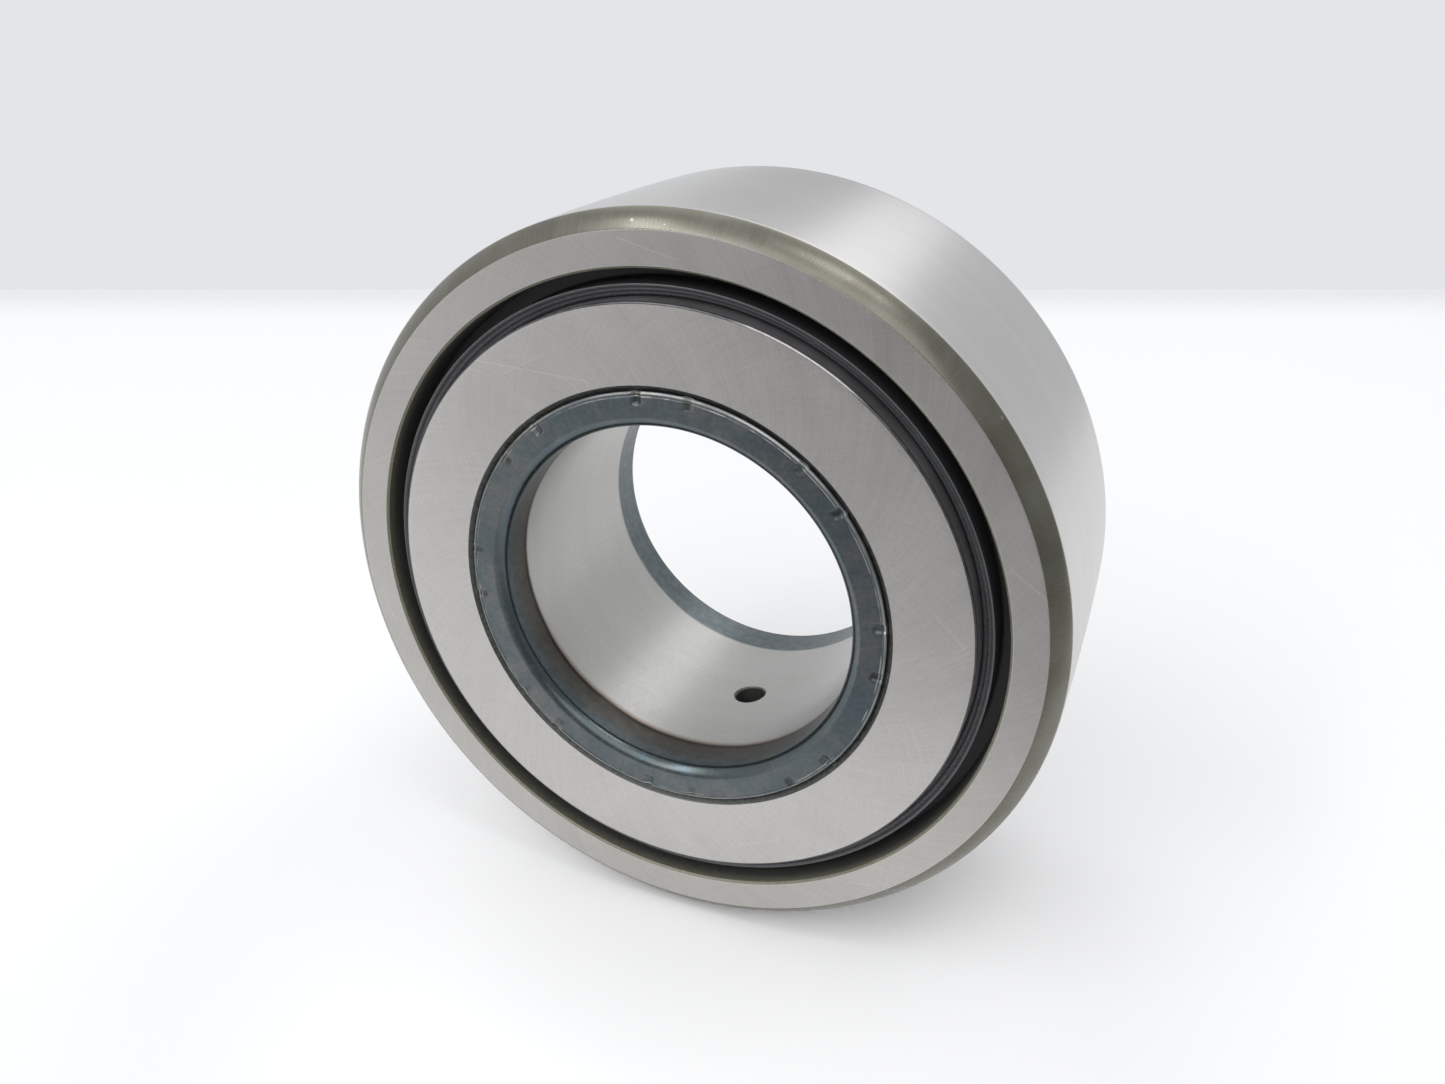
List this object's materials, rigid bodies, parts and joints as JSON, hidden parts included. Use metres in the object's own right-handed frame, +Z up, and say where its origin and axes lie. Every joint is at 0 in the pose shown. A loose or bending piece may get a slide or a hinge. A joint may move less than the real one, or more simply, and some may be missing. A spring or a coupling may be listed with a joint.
{
  "type": "cam follower",
  "caption": "Yoke-type cam follower: a thick crowned roller that turns on caged needle rollers around a ringed bore, with staked end plates and a lip seal in each side.",
  "frame": {"origin": "centre of the bore, half way along the overall width", "axes": "+Y along the bore axis, +Z up, +X across the roller"},
  "size_m": [0.072, 0.029, 0.072],
  "materials": {
    "ground_steel": "ground, satin",
    "plate_steel": "ground, satin",
    "tempered_steel": "ends tempered blue-grey, bore ground bright",
    "seal_rubber": "moulded, semi-matte",
    "insert_steel": "pressed sheet",
    "cage_plastic": "moulded polyamide",
    "needle_steel": "polished"
  },
  "bodies": {
    "carrier": {"inner_ring": "tempered_steel", "front_end_plate": "plate_steel", "rear_end_plate": "plate_steel"},
    "roller": {"outer_ring": "ground_steel", "front_seal": "seal_rubber", "rear_seal": "seal_rubber", "front_seal_insert": "insert_steel", "rear_seal_insert": "insert_steel"},
    "needle_cage": {"cage": "cage_plastic"},
    "needle_01_body": {"needle_01": "needle_steel"},
    "needle_02_body": {"needle_02": "needle_steel"},
    "needle_03_body": {"needle_03": "needle_steel"},
    "needle_04_body": {"needle_04": "needle_steel"},
    "needle_05_body": {"needle_05": "needle_steel"},
    "needle_06_body": {"needle_06": "needle_steel"},
    "needle_07_body": {"needle_07": "needle_steel"},
    "needle_08_body": {"needle_08": "needle_steel"},
    "needle_09_body": {"needle_09": "needle_steel"},
    "needle_10_body": {"needle_10": "needle_steel"},
    "needle_11_body": {"needle_11": "needle_steel"},
    "needle_12_body": {"needle_12": "needle_steel"},
    "needle_13_body": {"needle_13": "needle_steel"},
    "needle_14_body": {"needle_14": "needle_steel"},
    "needle_15_body": {"needle_15": "needle_steel"},
    "needle_16_body": {"needle_16": "needle_steel"},
    "needle_17_body": {"needle_17": "needle_steel"},
    "needle_18_body": {"needle_18": "needle_steel"},
    "needle_19_body": {"needle_19": "needle_steel"},
    "needle_20_body": {"needle_20": "needle_steel"}
  },
  "joints": [
    {"name": "roller_spin", "type": "hinge", "parent": "carrier", "child": "roller", "pos_m": [0, 0, 0], "axis": [0, 1, 0], "continuous": true},
    {"name": "cage_spin", "type": "hinge", "parent": "carrier", "child": "needle_cage", "pos_m": [0, 0, 0], "axis": [0, 1, 0], "continuous": true},
    {"name": "needle_01_spin", "type": "hinge", "parent": "needle_cage", "child": "needle_01_body", "pos_m": [0.02354, 0, 0], "axis": [0, 1, 0], "continuous": true},
    {"name": "needle_02_spin", "type": "hinge", "parent": "needle_cage", "child": "needle_02_body", "pos_m": [0.02238, 0, 0.00727], "axis": [0, 1, 0], "continuous": true},
    {"name": "needle_03_spin", "type": "hinge", "parent": "needle_cage", "child": "needle_03_body", "pos_m": [0.01904, 0, 0.01383], "axis": [0, 1, 0], "continuous": true},
    {"name": "needle_04_spin", "type": "hinge", "parent": "needle_cage", "child": "needle_04_body", "pos_m": [0.01383, 0, 0.01904], "axis": [0, 1, 0], "continuous": true},
    {"name": "needle_05_spin", "type": "hinge", "parent": "needle_cage", "child": "needle_05_body", "pos_m": [0.00727, 0, 0.02238], "axis": [0, 1, 0], "continuous": true},
    {"name": "needle_06_spin", "type": "hinge", "parent": "needle_cage", "child": "needle_06_body", "pos_m": [0, 0, 0.02354], "axis": [0, 1, 0], "continuous": true},
    {"name": "needle_07_spin", "type": "hinge", "parent": "needle_cage", "child": "needle_07_body", "pos_m": [-0.00727, 0, 0.02238], "axis": [0, 1, 0], "continuous": true},
    {"name": "needle_08_spin", "type": "hinge", "parent": "needle_cage", "child": "needle_08_body", "pos_m": [-0.01383, 0, 0.01904], "axis": [0, 1, 0], "continuous": true},
    {"name": "needle_09_spin", "type": "hinge", "parent": "needle_cage", "child": "needle_09_body", "pos_m": [-0.01904, 0, 0.01383], "axis": [0, 1, 0], "continuous": true},
    {"name": "needle_10_spin", "type": "hinge", "parent": "needle_cage", "child": "needle_10_body", "pos_m": [-0.02238, 0, 0.00727], "axis": [0, 1, 0], "continuous": true},
    {"name": "needle_11_spin", "type": "hinge", "parent": "needle_cage", "child": "needle_11_body", "pos_m": [-0.02354, 0, 0], "axis": [0, 1, 0], "continuous": true},
    {"name": "needle_12_spin", "type": "hinge", "parent": "needle_cage", "child": "needle_12_body", "pos_m": [-0.02238, 0, -0.00727], "axis": [0, 1, 0], "continuous": true},
    {"name": "needle_13_spin", "type": "hinge", "parent": "needle_cage", "child": "needle_13_body", "pos_m": [-0.01904, 0, -0.01383], "axis": [0, 1, 0], "continuous": true},
    {"name": "needle_14_spin", "type": "hinge", "parent": "needle_cage", "child": "needle_14_body", "pos_m": [-0.01383, 0, -0.01904], "axis": [0, 1, 0], "continuous": true},
    {"name": "needle_15_spin", "type": "hinge", "parent": "needle_cage", "child": "needle_15_body", "pos_m": [-0.00727, 0, -0.02238], "axis": [0, 1, 0], "continuous": true},
    {"name": "needle_16_spin", "type": "hinge", "parent": "needle_cage", "child": "needle_16_body", "pos_m": [0, 0, -0.02354], "axis": [0, 1, 0], "continuous": true},
    {"name": "needle_17_spin", "type": "hinge", "parent": "needle_cage", "child": "needle_17_body", "pos_m": [0.00727, 0, -0.02238], "axis": [0, 1, 0], "continuous": true},
    {"name": "needle_18_spin", "type": "hinge", "parent": "needle_cage", "child": "needle_18_body", "pos_m": [0.01383, 0, -0.01904], "axis": [0, 1, 0], "continuous": true},
    {"name": "needle_19_spin", "type": "hinge", "parent": "needle_cage", "child": "needle_19_body", "pos_m": [0.01904, 0, -0.01383], "axis": [0, 1, 0], "continuous": true},
    {"name": "needle_20_spin", "type": "hinge", "parent": "needle_cage", "child": "needle_20_body", "pos_m": [0.02238, 0, -0.00727], "axis": [0, 1, 0], "continuous": true}
  ],
  "couplings": [
    {"joint": "cage_spin", "follows": "roller_spin", "ratio": 0.55386},
    {"joint": "needle_01_spin", "follows": "roller_spin", "ratio": 4.6524},
    {"joint": "needle_02_spin", "follows": "roller_spin", "ratio": 4.6524},
    {"joint": "needle_03_spin", "follows": "roller_spin", "ratio": 4.6524},
    {"joint": "needle_04_spin", "follows": "roller_spin", "ratio": 4.6524},
    {"joint": "needle_05_spin", "follows": "roller_spin", "ratio": 4.6524},
    {"joint": "needle_06_spin", "follows": "roller_spin", "ratio": 4.6524},
    {"joint": "needle_07_spin", "follows": "roller_spin", "ratio": 4.6524},
    {"joint": "needle_08_spin", "follows": "roller_spin", "ratio": 4.6524},
    {"joint": "needle_09_spin", "follows": "roller_spin", "ratio": 4.6524},
    {"joint": "needle_10_spin", "follows": "roller_spin", "ratio": 4.6524},
    {"joint": "needle_11_spin", "follows": "roller_spin", "ratio": 4.6524},
    {"joint": "needle_12_spin", "follows": "roller_spin", "ratio": 4.6524},
    {"joint": "needle_13_spin", "follows": "roller_spin", "ratio": 4.6524},
    {"joint": "needle_14_spin", "follows": "roller_spin", "ratio": 4.6524},
    {"joint": "needle_15_spin", "follows": "roller_spin", "ratio": 4.6524},
    {"joint": "needle_16_spin", "follows": "roller_spin", "ratio": 4.6524},
    {"joint": "needle_17_spin", "follows": "roller_spin", "ratio": 4.6524},
    {"joint": "needle_18_spin", "follows": "roller_spin", "ratio": 4.6524},
    {"joint": "needle_19_spin", "follows": "roller_spin", "ratio": 4.6524},
    {"joint": "needle_20_spin", "follows": "roller_spin", "ratio": 4.6524}
  ]
}
